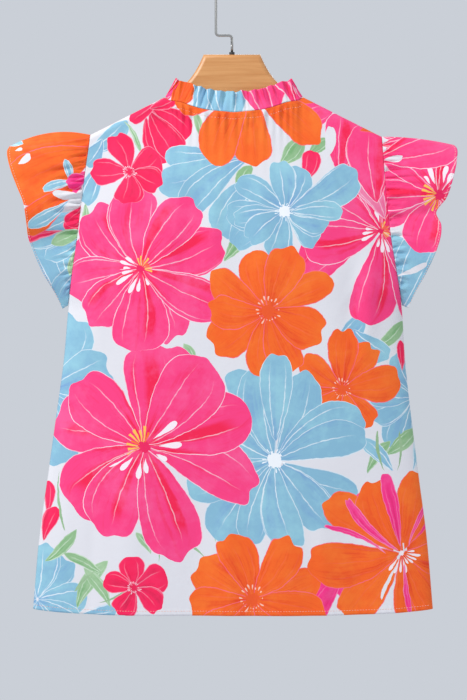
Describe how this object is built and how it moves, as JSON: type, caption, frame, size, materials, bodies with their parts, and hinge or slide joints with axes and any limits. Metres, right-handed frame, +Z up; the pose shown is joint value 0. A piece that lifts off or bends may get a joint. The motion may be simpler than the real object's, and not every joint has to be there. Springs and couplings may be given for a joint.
{
  "type": "blouse on hanger",
  "caption": "Short floral blouse with flutter sleeves and a gathered neck frill, hanging on a wooden hanger, back to the viewer.",
  "frame": {"origin": "inside of the hanger hook's top, where the rail carries it", "axes": "+X towards the wearer's right, +Y out of the blouse's front, +Z up; the back faces -Y"},
  "size_m": [0.5826, 0.0685, 0.8223],
  "materials": {
    "printed_cloth": "matt printed plain weave",
    "wood": "satin clear lacquer",
    "metal": "bright plated"
  },
  "bodies": {
    "root": {"back_panel": "printed_cloth", "front_panel": "printed_cloth", "sleeve_left": "printed_cloth", "sleeve_right": "printed_cloth", "neck_frill": "printed_cloth", "hanger_wood": "wood", "hanger_nut": "metal", "hanger_hook": "metal"}
  },
  "joints": []
}
